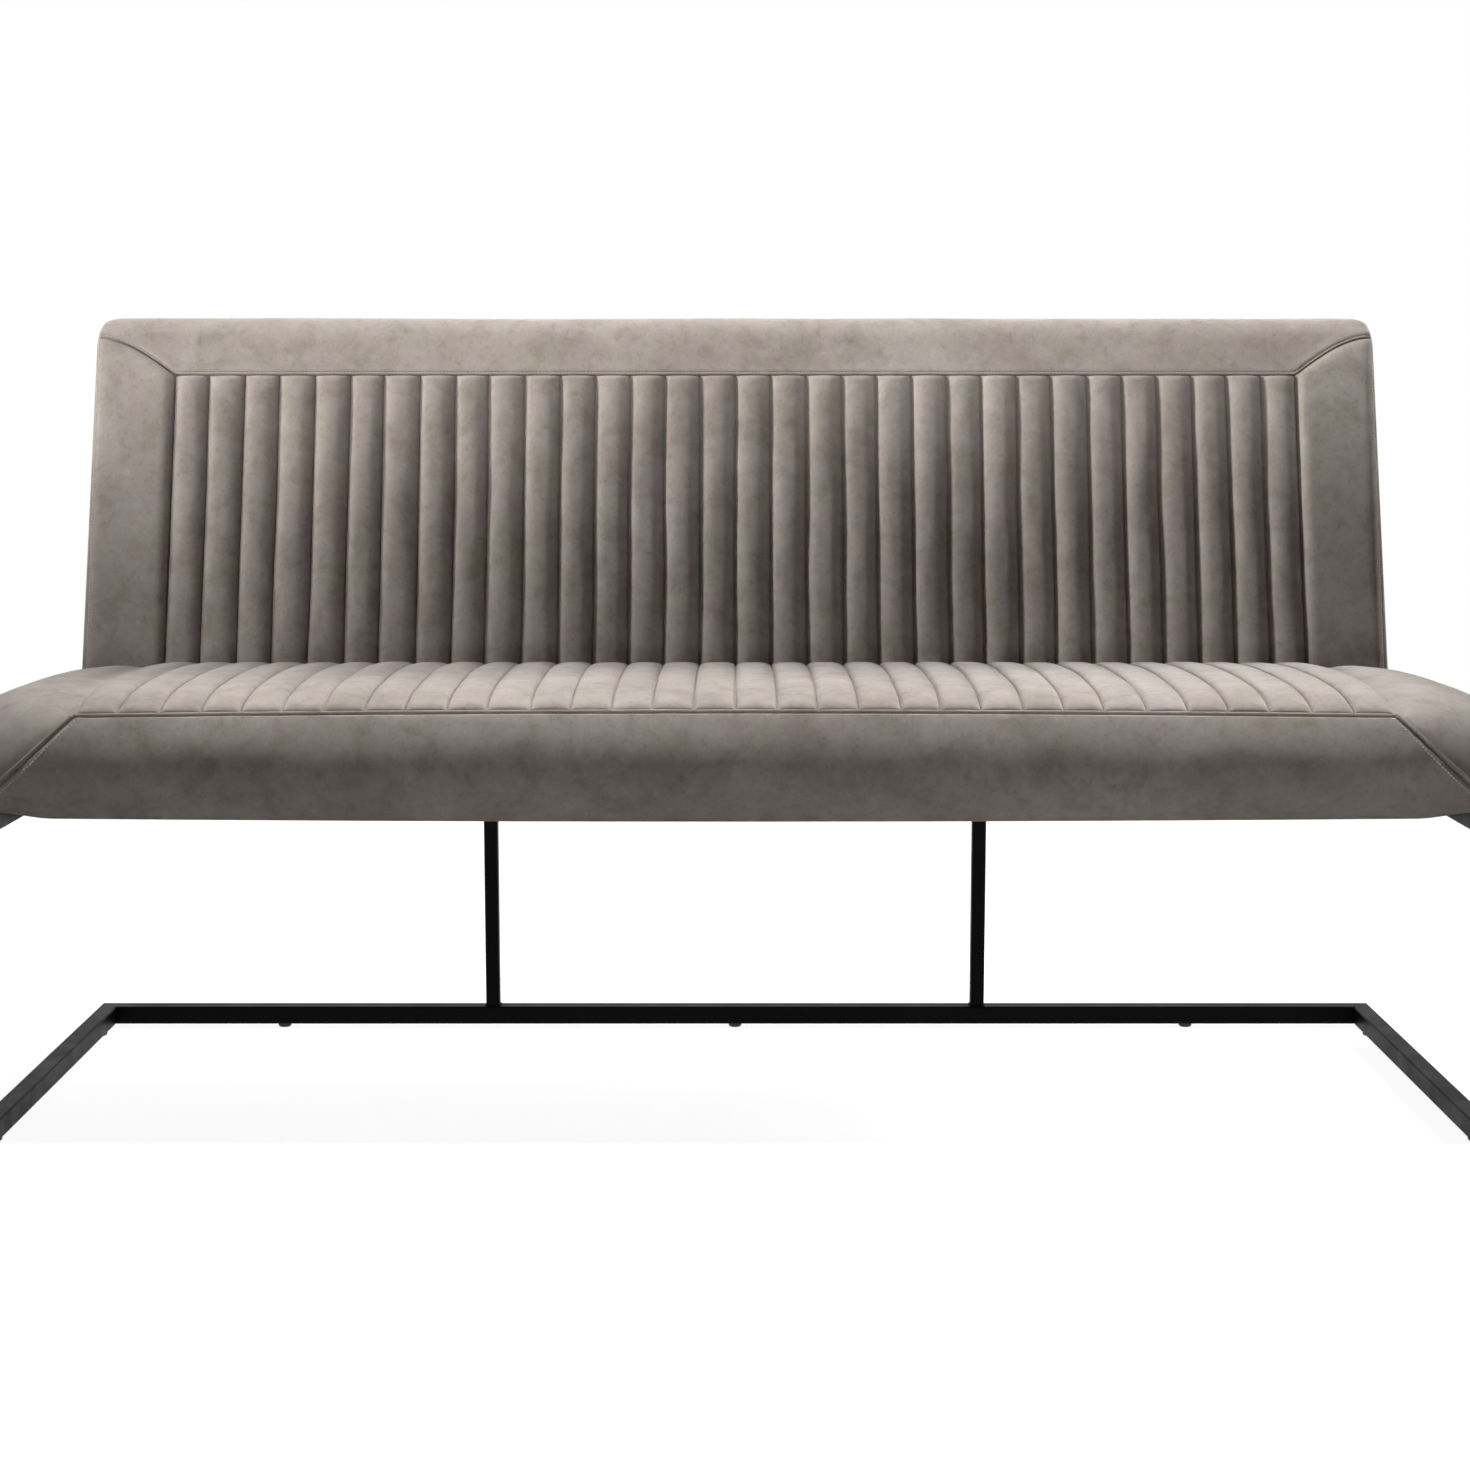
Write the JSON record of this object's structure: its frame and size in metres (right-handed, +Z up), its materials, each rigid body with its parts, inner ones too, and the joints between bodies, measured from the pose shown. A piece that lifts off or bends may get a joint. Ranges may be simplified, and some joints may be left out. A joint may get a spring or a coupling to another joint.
{
  "type": "dining bench",
  "caption": "Long upholstered dining bench: vertically channelled seat and backrest with plain mitred borders on a raked black square-tube frame open at the front of the floor.",
  "frame": {"origin": "centre of the bench's footprint on the floor, midway across its width and its depth", "axes": "+X across the width, to the right as seen from the front; +Y from the seat's front to the backrest's rear; +Z up"},
  "size_m": [1.652, 0.6419, 0.8774],
  "materials": {
    "powder_steel": "black fine-textured powder coat, satin",
    "glide_plastic": "moulded, matte",
    "board_ply": "raw plywood and sawn softwood",
    "zinc_steel": "zinc plated",
    "cushion_foam": "open-cell polyurethane foam",
    "dust_cloth": "thin non-woven cloth",
    "quilted_suede": "mottled suede-like microfibre, channel quilted over wadding",
    "plain_suede": "mottled suede-like microfibre over wadding"
  },
  "bodies": {
    "root": {"floor_back_tube": "powder_steel", "floor_side_tube_left": "powder_steel", "floor_side_tube_right": "powder_steel", "front_leg_left": "powder_steel", "front_leg_right": "powder_steel", "seat_rail_left": "powder_steel", "seat_rail_right": "powder_steel", "front_cross_tube": "powder_steel", "middle_cross_tube": "powder_steel", "rear_cross_tube": "powder_steel", "rear_upright_left": "powder_steel", "rear_upright_right": "powder_steel", "floor_glides": "glide_plastic", "seat_dust_cover": "dust_cloth", "seat_board": "board_ply", "seat_insert_nuts": "zinc_steel", "seat_bolts": "zinc_steel", "seat_foam": "cushion_foam", "seat_channel_panel": "quilted_suede", "seat_front_border": "plain_suede", "seat_side_border_left": "plain_suede", "seat_side_border_right": "plain_suede", "seat_rear_panel": "plain_suede", "backrest_post_left": "powder_steel", "backrest_post_right": "powder_steel", "backrest_bottom_rail": "board_ply", "backrest_top_rail": "board_ply", "backrest_stile_left": "board_ply", "backrest_stile_right": "board_ply", "backrest_board": "board_ply", "backrest_insert_nuts": "zinc_steel", "backrest_bolts": "zinc_steel", "backrest_foam": "cushion_foam", "backrest_channel_panel": "quilted_suede", "backrest_top_border": "plain_suede", "backrest_side_border_left": "plain_suede", "backrest_side_border_right": "plain_suede", "backrest_end_panel_left": "plain_suede", "backrest_end_panel_right": "plain_suede", "backrest_rear_panel": "plain_suede", "backrest_dust_cover": "dust_cloth"}
  },
  "joints": []
}
